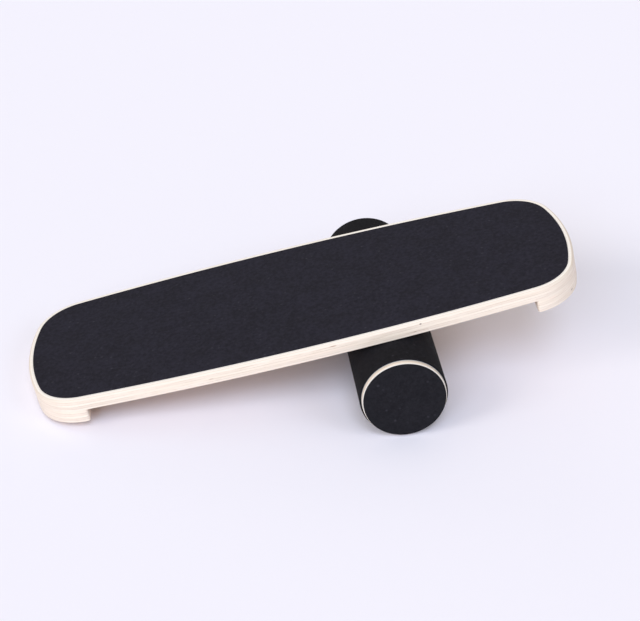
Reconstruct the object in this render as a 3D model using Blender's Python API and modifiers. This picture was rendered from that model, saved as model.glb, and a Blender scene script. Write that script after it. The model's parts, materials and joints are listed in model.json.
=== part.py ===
"""Balance board: a plywood deck with a grip sheet and two end stops, lying across a loose wrapped roller.

Units are metres. +X runs along the deck towards its raised end, +Y along the roller, +Z up. The origin is on
the floor under the middle of the whole object. At rest the deck's left end stands on the floor.
"""

import math

import bmesh
import bpy
from mathutils import Matrix, Vector

# Clearance between faces that touch on the real object
GAP = 0.0003
# How far a cutter runs past the face that it opens
CUT_PAST = 0.002
# Faces within this angle of each other, in radians, count as one flat face
FLAT_ANGLE = 0.0005
# Edges sharper than this, in radians, are shaded sharp
SHARP_ANGLE = math.radians(35)

# Deck
DECK_LENGTH = 0.740
DECK_WIDTH = 0.270
END_BOW = 0.035  # how far the middle of an end stands out beyond the deck's imagined square corners
SIDE_BOW = 0.0185  # how much narrower each side is at the deck's ends than at its middle
CORNER_RADIUS = 0.067
PLY_THICKNESS = 0.0175
TOP_ROUND = 0.004
EDGE_EASE = 0.0015
END_SEGMENTS, CORNER_SEGMENTS, SIDE_SEGMENTS = 5, 10, 6
GRIP_MARGIN = 0.0068
GRIP_FAR_MARGIN = 0.0091  # along the far side, where the photo shows more of the plywood
GRIP_THICKNESS = 0.0010
GRIP_EASE = 0.0003

# End stops and their screws
STOP_LENGTHS = {"left": 0.0751, "right": 0.0715}  # they differ a little in the photo
STOP_CORNER = 0.003
SCREW_ROWS = (-0.084, -0.028, 0.028, 0.084)
SCREW_INSET = 0.040
SCREW_LENGTH = 0.030
SCREW_RADIUS = 0.002
SCREW_HEAD_RADIUS = 0.004
SCREW_HEAD_HEIGHT = 0.0024
SCREW_TIP = 0.004
SCREW_SINK = 0.0005
SCREW_SLOT = (0.0045, 0.0011, 0.0016)
SCREW_SIDES = 12

# Roller
TUBE_LENGTH = 0.370
TUBE_RADIUS = 0.055
TUBE_WALL = 0.0032
WRAP_RADIUS = 0.057
WRAP_EASE = 0.0005
WRAP_LAP = 0.0027  # how far the sleeve runs over the far disc's rim, which the photo doesn't show
DISC_RADIUS = 0.0545
DISC_FLANGE = 0.0062
DISC_ROUND = 0.0012
END_PAD_RADIUS = 0.0533
END_PAD_THICKNESS = 0.0027
END_PAD_EASE = 0.0006
ROLLER_SIDES = 56

# Tie rod, washers and nuts inside the roller
ROD_RADIUS = 0.004
ROD_PAST_NUT = 0.001
ROD_CHAMFER = 0.0008
BORE_RADIUS = ROD_RADIUS + GAP
COUNTERBORE_RADIUS = 0.013
COUNTERBORE_DEPTH = 0.0105
WASHER_RADIUS = 0.012
WASHER_THICKNESS = 0.0016
NUT_ACROSS_FLATS = 0.013
NUT_HEIGHT = 0.0065
HARDWARE_SIDES = 24

# Rest position
CONTACT_ALONG = 0.104  # the roller's place along the deck, from the deck's middle towards the raised end
DECK_ASIDE = -0.008  # the deck's middle line beside the roller's middle

FINISHES = {  # base colour, roughness, metallic
    "birch_ply": ((0.86, 0.76, 0.63, 1.0), 0.55, 0.0),
    "grip": ((0.028, 0.028, 0.032, 1.0), 0.85, 0.0),
    "wrap": ((0.018, 0.018, 0.021, 1.0), 0.80, 0.0),
    "pipe": ((0.42, 0.43, 0.44, 1.0), 0.45, 0.0),
    "zinc_steel": ((0.62, 0.62, 0.60, 1.0), 0.35, 1.0),
}


def deck_height():
    """The deck's underside above the roller's axis, square to the deck."""
    return WRAP_RADIUS + GAP


def stop_low():
    """An end stop's lower face, from the deck's underside."""
    return -GAP - PLY_THICKNESS


def rest_tilt():
    """The tilt at which the left stop's lower corner reaches the floor while the deck lies on the roller."""
    # Centre of the stop's rounded lower rim, seen from the roller's axis in the deck's own directions
    rise = deck_height() + stop_low() + EDGE_EASE
    run = CONTACT_ALONG + DECK_LENGTH / 2 - EDGE_EASE
    reach = math.hypot(rise, run)
    return math.acos(-(WRAP_RADIUS - EDGE_EASE) / reach) - math.atan2(run, rise)


def roller_place_x():
    """The roller's X that puts the middle of the whole object's length over the origin."""
    tilt = rest_tilt()
    half = DECK_LENGTH / 2
    # The leftmost point lies on the deck's rounded top rim, the rightmost on the right stop's lower rim.
    top_rim = deck_height() + PLY_THICKNESS - TOP_ROUND
    low_rim = deck_height() + stop_low() + EDGE_EASE
    left = (TOP_ROUND - half - CONTACT_ALONG) * math.cos(tilt) - top_rim * math.sin(tilt) - TOP_ROUND
    right = (half - EDGE_EASE - CONTACT_ALONG) * math.cos(tilt) - low_rim * math.sin(tilt) + EDGE_EASE
    return -(left + right) / 2


# Scene helpers


def clear_scene():
    for obj in list(bpy.data.objects):
        bpy.data.objects.remove(obj, do_unlink=True)


def new_collection(name, parent=None):
    made = bpy.data.collections.new(name)
    (parent or bpy.context.scene.collection).children.link(made)
    return made


def new_empty(name, collection, parent=None, location=(0, 0, 0), rotation=(0, 0, 0)):
    empty = bpy.data.objects.new(name, None)
    empty.empty_display_size = 0.05
    return placed(empty, collection, parent, location, rotation)


def placed(obj, collection, parent, location=(0, 0, 0), rotation=(0, 0, 0)):
    collection.objects.link(obj)
    obj.parent = parent
    obj.location = location
    obj.rotation_euler = rotation
    return obj


def give_finish(obj, finish):
    """A material of the object's own, from the finish table."""
    colour, roughness, metallic = FINISHES[finish]
    made = bpy.data.materials.new(f"{obj.name}_{finish}")
    made.use_nodes = True
    shader = made.node_tree.nodes["Principled BSDF"]
    shader.inputs["Base Color"].default_value = colour
    shader.inputs["Roughness"].default_value = roughness
    shader.inputs["Metallic"].default_value = metallic
    made.diffuse_color = colour
    if obj.data.materials:
        obj.material_slots[0].link = "OBJECT"
        obj.material_slots[0].material = made
    else:
        obj.data.materials.append(made)
    return obj


def mark_as_cutter(obj):
    obj.hide_render = True
    obj.display_type = "WIRE"
    return obj


# Flat outlines


def circle_crossing(centre_a, radius_a, centre_b, radius_b):
    """The upper right point that two circles share."""
    across = centre_b - centre_a
    apart = across.length
    along = (radius_a**2 - radius_b**2 + apart**2) / (2 * apart)
    aside = math.sqrt(radius_a**2 - along**2)
    unit = across / apart
    square = Vector((unit.y, -unit.x))
    points = [centre_a + unit * along + square * side * aside for side in (-1, 1)]
    return max(points, key=lambda point: point.x)


def arc(centre, radius, start, end, segments):
    angles = [start + (end - start) * step / segments for step in range(segments + 1)]
    return [centre + radius * Vector((math.cos(a), math.sin(a))) for a in angles]


def angle_of(vector):
    return math.atan2(vector.y, vector.x)


def quarter_outline(inset):
    """Three tangent arcs, from the tip of the deck's right end to the middle of its far side."""
    half_length, half_width = DECK_LENGTH / 2, DECK_WIDTH / 2
    end_radius = (half_width**2 + END_BOW**2) / (2 * END_BOW)
    side_radius = (half_length**2 + SIDE_BOW**2) / (2 * SIDE_BOW)
    end_centre = Vector((half_length - end_radius, 0))
    side_centre = Vector((0, half_width - side_radius))
    corner = circle_crossing(
        end_centre, end_radius - CORNER_RADIUS, side_centre, side_radius - CORNER_RADIUS
    )
    end_angle = angle_of(corner - end_centre)
    side_angle = angle_of(corner - side_centre)
    points = arc(end_centre, end_radius - inset, 0, end_angle, END_SEGMENTS)
    points += arc(corner, CORNER_RADIUS - inset, end_angle, side_angle, CORNER_SEGMENTS)[1:]
    points += arc(side_centre, side_radius - inset, side_angle, math.pi / 2, SIDE_SEGMENTS)[1:]
    return points


def deck_outline(inset=0.0):
    quarter = quarter_outline(inset)
    half = quarter + [Vector((-p.x, p.y)) for p in reversed(quarter[:-1])]
    return half + [Vector((p.x, -p.y)) for p in reversed(half[1:-1])]


def width_at(along):
    """Half of the deck's width at a distance along it."""
    quarter = quarter_outline(0.0)
    for outer, inner in zip(quarter, quarter[1:]):
        if inner.x <= along <= outer.x:
            share = (outer.x - along) / (outer.x - inner.x)
            return outer.y + share * (inner.y - outer.y)
    raise ValueError("no deck at that distance")


def grip_outline():
    """The deck's outline, set in by the grip sheet's margins."""
    full = DECK_WIDTH - 2 * GRIP_MARGIN
    narrower = GRIP_FAR_MARGIN - GRIP_MARGIN
    share = (full - narrower) / full
    return [Vector((p.x, p.y * share - narrower / 2)) for p in deck_outline(GRIP_MARGIN)]


def stop_outline(length):
    """A right stop: the deck's end outline, closed by a straight inner edge with small round corners."""
    inner = DECK_LENGTH / 2 - length
    end = [p for p in quarter_outline(0.0) if p.x > inner + STOP_CORNER]
    corner_centre = Vector((inner + STOP_CORNER, width_at(inner + STOP_CORNER) - STOP_CORNER))
    upper = end + arc(corner_centre, STOP_CORNER, math.pi / 2, math.pi, 3)
    return upper + [Vector((p.x, -p.y)) for p in reversed(upper[1:])]


# Shapes


def mesh_from_curve(curve_object):
    """The evaluated curve as a welded mesh, with the curve removed."""
    bpy.context.scene.collection.objects.link(curve_object)
    graph = bpy.context.evaluated_depsgraph_get()
    mesh = bpy.data.meshes.new_from_object(curve_object.evaluated_get(graph))
    bpy.data.objects.remove(curve_object, do_unlink=True)
    shape = bmesh.new()
    shape.from_mesh(mesh)
    bmesh.ops.remove_doubles(shape, verts=shape.verts, dist=1e-6)
    # Each cap becomes one face, so that a bevel doesn't run along the edges inside it.
    bmesh.ops.dissolve_limit(shape, angle_limit=FLAT_ANGLE, verts=shape.verts, edges=shape.edges)
    bmesh.ops.recalc_face_normals(shape, faces=shape.faces)
    shape.to_mesh(mesh)
    shape.free()
    return mesh


def plate(name, outline, low, high, lower_edge, upper_edge, bevel_segments=3):
    """A flat sheet between two heights with rounded rims. Returns the object, not yet in a collection."""
    curve = bpy.data.curves.new(name, "CURVE")
    curve.dimensions = "2D"
    curve.fill_mode = "BOTH"
    curve.extrude = (high - low) / 2
    spline = curve.splines.new("POLY")
    spline.points.add(len(outline) - 1)
    for point, place in zip(spline.points, outline):
        point.co = (place.x, place.y, 0, 1)
    spline.use_cyclic_u = True
    mesh = mesh_from_curve(bpy.data.objects.new(name, curve))
    mesh.transform(Matrix.Translation((0, 0, (low + high) / 2)))
    mesh.shade_smooth()
    mesh.set_sharp_from_angle(angle=SHARP_ANGLE)
    obj = bpy.data.objects.new(name, mesh)
    round_rims(obj, low, high, lower_edge, upper_edge, bevel_segments)
    return obj


def round_rims(obj, low, high, lower_edge, upper_edge, segments):
    """Bevels the two rims of a plate, each by its own width."""
    widest = max(lower_edge, upper_edge)
    weights = obj.data.attributes.new("bevel_weight_edge", "FLOAT", "EDGE")
    middle = (low + high) / 2
    heights = [vertex.co.z for vertex in obj.data.vertices]
    rims = rim_edges(obj.data)
    for edge in obj.data.edges:
        if edge.index not in rims:
            continue
        above = heights[edge.vertices[0]] > middle
        weights.data[edge.index].value = (upper_edge if above else lower_edge) / widest
    bevel = obj.modifiers.new("rims", "BEVEL")
    bevel.limit_method = "WEIGHT"
    bevel.width = widest
    bevel.segments = segments
    bevel.use_clamp_overlap = False
    bevel.loop_slide = False


def rim_edges(mesh):
    """The edges where a level face meets an upright one."""
    level_of_edge = {}
    for face in mesh.polygons:
        for key in face.edge_keys:
            level_of_edge.setdefault(key, []).append(abs(face.normal.z) > 0.5)
    keys = {tuple(sorted(edge.vertices)): edge.index for edge in mesh.edges}
    return {keys[tuple(sorted(key))] for key, level in level_of_edge.items() if sum(level) == 1}


def turned(name, profile, sides, closed):
    """A body of revolution about its own Z, from (radius, height) points that run down its outer side."""
    mesh = bpy.data.meshes.new(name)
    count = len(profile)
    edges = [(i, (i + 1) % count) for i in range(count if closed else count - 1)]
    mesh.from_pydata([(radius, 0, height) for radius, height in profile], edges, [])
    obj = bpy.data.objects.new(name, mesh)
    screw = obj.modifiers.new("turn", "SCREW")
    screw.axis = "Z"
    screw.steps = screw.render_steps = sides
    screw.use_merge_vertices = True
    screw.merge_threshold = 0.00001
    screw.use_smooth_shade = True
    return obj


def cut_with(obj, cutters, name):
    """Subtracts every cutter in a collection."""
    boolean = obj.modifiers.new(name, "BOOLEAN")
    boolean.operation = "DIFFERENCE"
    boolean.solver = "EXACT"
    boolean.operand_type = "COLLECTION"
    boolean.collection = cutters


# Deck


def screw_places(side):
    """The four screws of one stop, in the deck's own frame."""
    along = side * (DECK_LENGTH / 2 - SCREW_INSET)
    return [(along, row) for row in SCREW_ROWS]


def pilot_cutters(cutters, deck_frame):
    """Blind holes in the deck board's underside for the screw threads."""
    held = new_collection("pilot_hole_cutters", cutters)
    depth = SCREW_LENGTH + SCREW_SINK - PLY_THICKNESS + GAP
    radius = SCREW_RADIUS + GAP
    for side, end in ((-1, "left"), (1, "right")):
        for number, (along, across) in enumerate(screw_places(side), 1):
            profile = [(0, depth), (radius, depth), (radius, -CUT_PAST), (0, -CUT_PAST)]
            cutter = turned(f"{end}_pilot_{number}", profile, SCREW_SIDES, closed=False)
            placed(mark_as_cutter(cutter), held, deck_frame, (along, across, 0))
    return held


def stop_hole_cutters(cutters, deck_frame, side, end):
    """Countersunk holes through one stop, seen from its lower face."""
    held = new_collection(f"{end}_stop_hole_cutters", cutters)
    bottom = stop_low()
    head_low = bottom + SCREW_SINK
    narrow, wide = SCREW_RADIUS + GAP, SCREW_HEAD_RADIUS + GAP
    profile = [
        (0, CUT_PAST),
        (narrow, CUT_PAST),
        (narrow, head_low + SCREW_HEAD_HEIGHT),
        (wide, head_low),
        (wide, bottom - CUT_PAST),
        (0, bottom - CUT_PAST),
    ]
    for number, (along, across) in enumerate(screw_places(side), 1):
        cutter = turned(f"{end}_stop_hole_{number}", profile, SCREW_SIDES, closed=False)
        placed(mark_as_cutter(cutter), held, deck_frame, (along, across, 0))
    return held


def make_deck_board(parts, cutters, deck_frame):
    board = plate("deck_board", deck_outline(), 0, PLY_THICKNESS, EDGE_EASE, TOP_ROUND)
    cut_with(board, pilot_cutters(cutters, deck_frame), "pilot_holes")
    placed(board, parts, deck_frame)
    give_finish(board, "birch_ply")


def make_deck_grip(parts, deck_frame):
    low = PLY_THICKNESS + GAP
    high = low + GRIP_THICKNESS
    grip = plate("deck_grip", grip_outline(), low, high, 0.0, GRIP_EASE, bevel_segments=1)
    placed(grip, parts, deck_frame)
    give_finish(grip, "grip")


def make_end_stop(parts, cutters, deck_frame, side, end):
    outline = [Vector((side * p.x, side * p.y)) for p in stop_outline(STOP_LENGTHS[end])]
    stop = plate(f"{end}_end_stop", outline, stop_low(), -GAP, EDGE_EASE, 0.0, bevel_segments=2)
    cut_with(stop, stop_hole_cutters(cutters, deck_frame, side, end), "screw_holes")
    placed(stop, parts, deck_frame)
    give_finish(stop, "birch_ply")


def screw_slot_cutters(cutters):
    """A cross recess for the screws' heads, about the screw's own axis."""
    held = new_collection("screw_slot_cutters", cutters)
    length, width, depth = SCREW_SLOT
    for turn in (0, 1):
        size = (width, length) if turn else (length, width)
        shape = bmesh.new()
        bmesh.ops.create_cube(shape, size=1.0)
        bmesh.ops.scale(shape, vec=(size[0], size[1], 2 * depth), verts=shape.verts)
        mesh = bpy.data.meshes.new(f"screw_slot_{turn}")
        shape.to_mesh(mesh)
        shape.free()
        cutter = bpy.data.objects.new(f"screw_slot_{turn}", mesh)
        placed(mark_as_cutter(cutter), held, None)
    return held


def screw_mesh(cutters):
    """A countersunk wood screw: its head's face at Z = 0, its tip up."""
    profile = [
        (0, SCREW_LENGTH),
        (SCREW_RADIUS, SCREW_LENGTH - SCREW_TIP),
        (SCREW_RADIUS, SCREW_HEAD_HEIGHT),
        (SCREW_HEAD_RADIUS, 0),
        (0, 0),
    ]
    pattern = turned("screw_pattern", profile, SCREW_SIDES, closed=False)
    cut_with(pattern, screw_slot_cutters(cutters), "cross_recess")
    bpy.context.scene.collection.objects.link(pattern)
    bpy.context.view_layer.update()
    graph = bpy.context.evaluated_depsgraph_get()
    mesh = bpy.data.meshes.new_from_object(pattern.evaluated_get(graph))
    mesh.name = "stop_screw"
    mesh.materials.append(None)
    bpy.data.objects.remove(pattern, do_unlink=True)
    return mesh


def make_stop_screws(parts, cutters, deck_frame):
    mesh = screw_mesh(cutters)
    low = stop_low() + SCREW_SINK
    for side, end in ((-1, "left"), (1, "right")):
        for number, (along, across) in enumerate(screw_places(side), 1):
            screw = bpy.data.objects.new(f"{end}_stop_screw_{number}", mesh)
            placed(screw, parts, deck_frame, (along, across, low))
            give_finish(screw, "zinc_steel")


# Roller


def ring(outer, inner, low, high, ease=0.0):
    """A closed ring profile, its outer corners cut back by ease."""
    if not ease:
        return [(outer, high), (outer, low), (inner, low), (inner, high)]
    return [
        (outer - ease, high),
        (outer, high - ease),
        (outer, low + ease),
        (outer - ease, low),
        (inner, low),
        (inner, high),
    ]


def round_corner(radius, height, size, segments):
    """Points of a quarter round at a turned piece's upper outer corner, from its top face to its side."""
    turns = [math.pi / 2 * (1 - step / segments) for step in range(segments + 1)]
    return [(radius - size * (1 - math.cos(a)), height - size * (1 - math.sin(a))) for a in turns]


def end_disc_profile():
    """A rebated plug disc with its bore and counterbore. Z = 0 where the flange meets the tube."""
    plug_radius = TUBE_RADIUS - TUBE_WALL - GAP
    plug_low = DISC_FLANGE - PLY_THICKNESS
    floor = DISC_FLANGE - COUNTERBORE_DEPTH
    rim = round_corner(DISC_RADIUS, DISC_FLANGE, DISC_ROUND, segments=3)
    return [
        *rim,
        (DISC_RADIUS, 0),
        (plug_radius, 0),
        (plug_radius, plug_low),
        (BORE_RADIUS, plug_low),
        (BORE_RADIUS, floor),
        (COUNTERBORE_RADIUS, floor),
        (COUNTERBORE_RADIUS, DISC_FLANGE),
    ]


def end_pad_profile():
    low = DISC_FLANGE + GAP
    high = low + END_PAD_THICKNESS
    edge = round_corner(END_PAD_RADIUS, high, END_PAD_EASE, segments=2)
    return [(0, high), *edge, (END_PAD_RADIUS, low), (0, low)]


def washer_low():
    return DISC_FLANGE - COUNTERBORE_DEPTH + GAP


def nut_low():
    return washer_low() + WASHER_THICKNESS + GAP


def make_nut(name):
    """A hexagon nut with a plain bore, from its washer face up."""
    low = nut_low()
    shape = bmesh.new()
    bmesh.ops.create_cone(
        shape,
        cap_ends=True,
        segments=6,
        radius1=NUT_ACROSS_FLATS / math.sqrt(3),
        radius2=NUT_ACROSS_FLATS / math.sqrt(3),
        depth=NUT_HEIGHT,
    )
    bmesh.ops.translate(shape, vec=(0, 0, low + NUT_HEIGHT / 2), verts=shape.verts)
    mesh = bpy.data.meshes.new(name)
    shape.to_mesh(mesh)
    shape.free()
    return bpy.data.objects.new(name, mesh)


def nut_bore_cutter(cutters, end_frame, end):
    held = new_collection(f"{end}_nut_bore_cutter", cutters)
    low = nut_low() - CUT_PAST
    high = nut_low() + NUT_HEIGHT + CUT_PAST
    profile = [(0, high), (BORE_RADIUS, high), (BORE_RADIUS, low), (0, low)]
    bore = turned(f"{end}_nut_bore", profile, HARDWARE_SIDES, closed=False)
    placed(mark_as_cutter(bore), held, end_frame)
    return held


def make_end(parts, cutters, roller_frame, end, facing):
    """Disc, pad, washer and nut at one end of the roller, in a frame whose Z points out of that end."""
    face = facing * (TUBE_LENGTH / 2 + GAP)
    turn = (-facing * math.pi / 2, 0, 0)
    frame = new_empty(f"{end}_end_frame", parts, roller_frame, (0, face, 0), turn)
    disc = turned(f"{end}_end_disc", end_disc_profile(), ROLLER_SIDES, closed=True)
    give_finish(placed(disc, parts, frame), "birch_ply")
    pad = turned(f"{end}_end_pad", end_pad_profile(), ROLLER_SIDES, closed=False)
    give_finish(placed(pad, parts, frame), "grip")
    low = washer_low()
    flat = ring(WASHER_RADIUS, BORE_RADIUS, low, low + WASHER_THICKNESS)
    washer = turned(f"{end}_washer", flat, HARDWARE_SIDES, closed=True)
    give_finish(placed(washer, parts, frame), "zinc_steel")
    nut = make_nut(f"{end}_nut")
    cut_with(nut, nut_bore_cutter(cutters, frame, end), "bore")
    give_finish(placed(nut, parts, frame), "zinc_steel")


def make_tie_rod(parts, roller_frame):
    half = TUBE_LENGTH / 2 + GAP + nut_low() + NUT_HEIGHT + ROD_PAST_NUT
    neck = ROD_RADIUS - ROD_CHAMFER
    profile = [
        (0, half),
        (neck, half),
        (ROD_RADIUS, half - ROD_CHAMFER),
        (ROD_RADIUS, ROD_CHAMFER - half),
        (neck, -half),
        (0, -half),
    ]
    rod = turned("tie_rod", profile, HARDWARE_SIDES, closed=False)
    give_finish(placed(rod, parts, roller_frame, rotation=(-math.pi / 2, 0, 0)), "zinc_steel")


def make_roller_sleeves(parts, roller_frame):
    half = TUBE_LENGTH / 2
    along_y = (-math.pi / 2, 0, 0)
    wall = ring(TUBE_RADIUS, TUBE_RADIUS - TUBE_WALL, -half, half)
    tube = turned("roller_tube", wall, ROLLER_SIDES, closed=True)
    give_finish(placed(tube, parts, roller_frame, rotation=along_y), "pipe")
    sleeve = ring(WRAP_RADIUS, TUBE_RADIUS + GAP, -half, half + WRAP_LAP, WRAP_EASE)
    wrap = turned("roller_wrap", sleeve, ROLLER_SIDES, closed=True)
    give_finish(placed(wrap, parts, roller_frame, rotation=along_y), "wrap")


def main():
    clear_scene()
    parts = new_collection("balance_board")
    cutters = new_collection("cutters")

    roller_frame = new_empty("roller_frame", parts, location=(roller_place_x(), 0, WRAP_RADIUS))
    make_roller_sleeves(parts, roller_frame)
    make_tie_rod(parts, roller_frame)
    make_end(parts, cutters, roller_frame, "front", -1)
    make_end(parts, cutters, roller_frame, "rear", 1)

    rock_pivot = new_empty("rock_pivot", parts, roller_frame, rotation=(0, -rest_tilt(), 0))
    above_axis = (-CONTACT_ALONG, DECK_ASIDE, WRAP_RADIUS + GAP)
    deck_frame = new_empty("deck_frame", parts, rock_pivot, above_axis)
    bpy.context.view_layer.update()
    make_deck_board(parts, cutters, deck_frame)
    make_deck_grip(parts, deck_frame)
    make_end_stop(parts, cutters, deck_frame, -1, "left")
    make_end_stop(parts, cutters, deck_frame, 1, "right")
    make_stop_screws(parts, cutters, deck_frame)


main()
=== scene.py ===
"""The finished look of the balance board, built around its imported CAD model.

Units are metres, in the row frame: +X towards the deck's raised end, +Y along the roller, +Z up.
Each visible CAD node is replaced by a finer mesh of the same shape, which rides on the same body.
Every new mesh keeps its own sheet's or turned piece's coordinates in the attribute "own", and its
material reads them from there.
"""

import json
import math

import bmesh
import bpy
from mathutils import Matrix, Vector


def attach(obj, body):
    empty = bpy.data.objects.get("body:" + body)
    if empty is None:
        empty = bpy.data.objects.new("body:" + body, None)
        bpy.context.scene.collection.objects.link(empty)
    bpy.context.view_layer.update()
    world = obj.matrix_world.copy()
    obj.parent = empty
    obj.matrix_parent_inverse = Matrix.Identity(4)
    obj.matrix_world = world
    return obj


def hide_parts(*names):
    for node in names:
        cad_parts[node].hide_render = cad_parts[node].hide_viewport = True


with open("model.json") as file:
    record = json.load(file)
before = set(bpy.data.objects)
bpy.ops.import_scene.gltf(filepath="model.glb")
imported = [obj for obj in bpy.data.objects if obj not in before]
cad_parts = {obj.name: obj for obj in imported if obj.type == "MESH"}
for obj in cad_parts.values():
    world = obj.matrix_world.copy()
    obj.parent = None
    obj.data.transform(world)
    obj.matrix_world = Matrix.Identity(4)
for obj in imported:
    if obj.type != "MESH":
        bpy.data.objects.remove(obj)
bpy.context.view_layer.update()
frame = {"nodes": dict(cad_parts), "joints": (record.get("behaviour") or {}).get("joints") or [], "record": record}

# Deck outline, as in the CAD model
END_BOW = 0.035  # how far the middle of an end stands out beyond the deck's imagined square corners
SIDE_BOW = 0.0185  # how much narrower each side is at the deck's ends than at its middle
CORNER_RADIUS = 0.067
STOP_CORNER = 0.003
END_SEGMENTS, CORNER_SEGMENTS, SIDE_SEGMENTS = 24, 26, 64
STOP_CORNER_SEGMENTS = 6
STOP_EDGE_POINTS = (0.08, 0.04)  # extra points on a stop's straight inner edge, from its middle

# Rims of the flat pieces
TOP_ROUND = 0.004
LOW_ROUND = 0.0012
JOINT_ROUND = 0.00015  # where the deck's edge and a stop's edge were sanded flush with each other
GRIP_ROUND = 0.0006
GRIP_LOW_ROUND = 0.0001
ROUND_STEPS = 6
FLAT_LAP = 0.0004  # a face's border strip, which keeps its shading flat
SHARP_ANGLE = math.radians(38)  # edges that turn by more than this are shaded sharp

# Plywood
PLY = 0.0035
PLIES = 5
GLUE_LINE = 0.0003
BOTTOM_SKIN = 0.1 * PLY  # below this height a point counts as on the lowest veneer's face
TOP_SKIN = (PLIES - 0.1) * PLY  # above this one it counts as on the top veneer's face

# Screws in the stops
SCREW_ROWS = (-0.084, -0.028, 0.028, 0.084)
SCREW_INSET = 0.040
SCREW_LENGTH = 0.030
SCREW_SHANK = 0.0013
SCREW_CREST = 0.0020
SCREW_PITCH = 0.0018
SCREW_TIP = 0.005
SCREW_TIP_LEFT = 0.03  # share of the full radius that is left at the very tip
SCREW_NECK = 0.0035  # plain length between the head and the thread
SCREW_NECK_STEP = 0.0003  # how much thicker the neck is than the thread's root
SCREW_RUN_IN = 0.0005
SCREW_HEAD_RADIUS = 0.0039
SCREW_HEAD_HEIGHT = 0.0026
SCREW_HEAD_RIM = 0.0003
SCREW_SINK = 0.0005
RECESS_SPAN, RECESS_WIDTH, RECESS_DEPTH = 0.0042, 0.0009, 0.0017
RECESS_FOOT_SPAN, RECESS_FOOT_WIDTH = 0.45, 0.7  # shares of the span and width at the recess's foot
SCREW_TURN = 0.7  # radians between one screw's recess and the next one's
HOLE_CLEARANCE = 0.0002
CUT_PAST = 0.002  # how far a cutting shape runs past the face that it goes through

# Roller
WRAP_SEAM = 0.0005  # width of the gap where the grip sleeve's two edges meet
WRAP_SEAM_ANGLE = math.radians(50)  # below the horizontal, on the side of the raised end
WRAP_ROUND = 0.0005
WRAP_SEAM_EASE = 0.0002
WRAP_STEPS = 12
TUBE_EASE = 0.0004
DISC_FLANGE = 0.0062
DISC_ROUND = 0.0008
DISC_COUNTERBORE = 0.013
DISC_COUNTERBORE_DEPTH = 0.0105
PLUG_CLEARANCE = 0.0002
PLUG_EASE = 0.0008
PAD_ROUND = 0.0009
PAD_BACK_EASE, PAD_BACK_RISE = 0.0004, 0.0003
TURNED_SIDES = 144

# Fasteners in the roller
WASHER_EASE = 0.0002
NUT_ACROSS_FLATS = 0.013
NUT_FACE = 0.97  # radius of a nut's flat round face, as a share of its half width across flats
NUT_CHAMFER = math.tan(math.radians(30))
NUT_BORE_EASE = 0.0005
ROD_ROOT = 0.00335
ROD_PITCH = 0.00125
ROD_THREAD_LENGTH = 0.022
ROD_LEAD, ROD_RUN_OUT = 0.0008, 0.001  # plain lengths at a thread's two ends
HARDWARE_SIDES = 48
THREAD_SIDES = 24
THREAD_STEPS = 8  # stations in each turn of a thread


# Reading the CAD model


def mount(name):
    return next(m for m in frame["record"]["mounts"] if m["name"] == name)


def joint(name):
    return next(j for j in frame["joints"] if j["name"] == name)


def vertices_of(node):
    return [vertex.co for vertex in frame["nodes"][node].data.vertices]


def span(node, direction, origin=Vector((0, 0, 0))):
    """Lowest and highest place of a node along a direction."""
    places = [(co - origin).dot(direction) for co in vertices_of(node)]
    return min(places), max(places)


def radii(node):
    """Smallest and largest distance of a node's vertices from the roller's axis."""
    distances = [math.hypot(co.x - ROLLER_AXIS.x, co.z - ROLLER_AXIS.z) for co in vertices_of(node)]
    return min(distances), max(distances)


DECK_UP = Vector(mount("standing_surface")["axis"])
DECK_ALONG = Vector((DECK_UP.z, 0, -DECK_UP.x))
DECK_ACROSS = Vector((0, 1, 0))
DECK_CENTRE = Vector(mount("standing_surface")["pos_m"])
ROLLER_AXIS = Vector(joint("deck_rock")["pos_m"])

DECK_LENGTH = span("deck_board", DECK_ALONG)[1] - span("deck_board", DECK_ALONG)[0]
DECK_WIDTH = span("deck_board", DECK_ACROSS)[1] - span("deck_board", DECK_ACROSS)[0]
GRIP_LENGTH = span("deck_grip", DECK_ALONG)[1] - span("deck_grip", DECK_ALONG)[0]
GRIP_MARGIN = (DECK_LENGTH - GRIP_LENGTH) / 2
STOP_STARTS = {  # where each stop's inner edge lies, from the deck's middle
    -1: span("left_end_stop", DECK_ALONG, DECK_CENTRE)[1],
    1: span("right_end_stop", DECK_ALONG, DECK_CENTRE)[0],
}
DISC_THICKNESS = span("front_end_disc", DECK_ACROSS)[1] - span("front_end_disc", DECK_ACROSS)[0]


def on_deck(node):
    """Places a sheet's own coordinates, with its height from that node's lower face, in the row frame."""
    low = span(node, DECK_UP, DECK_CENTRE)[0]
    turn = Matrix((DECK_ALONG, DECK_ACROSS, DECK_UP)).transposed().to_4x4()
    return Matrix.Translation(DECK_CENTRE + DECK_UP * low) @ turn


def on_roller(facing, along):
    """Places a turned piece's own coordinates: its Z points along +Y or -Y, from a place along the roller."""
    centre = Vector((ROLLER_AXIS.x, along, ROLLER_AXIS.z))
    return Matrix.Translation(centre) @ Matrix.Rotation(-facing * math.pi / 2, 4, "X")


# Outlines


def circle_crossing(centre_a, radius_a, centre_b, radius_b):
    """The right-hand point that two circles share."""
    across = centre_b - centre_a
    apart = across.length
    along = (radius_a**2 - radius_b**2 + apart**2) / (2 * apart)
    aside = math.sqrt(radius_a**2 - along**2)
    unit = across / apart
    square = Vector((unit.y, -unit.x))
    points = [centre_a + unit * along + square * side * aside for side in (-1, 1)]
    return max(points, key=lambda point: point.x)


def arc(centre, radius, start, end, segments):
    """Points of an arc, each with the direction towards its centre."""
    angles = [start + (end - start) * step / segments for step in range(segments + 1)]
    outward = [Vector((math.cos(a), math.sin(a))) for a in angles]
    return [(centre + radius * direction, -direction) for direction in outward]


def angle_of(vector):
    return math.atan2(vector.y, vector.x)


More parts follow.
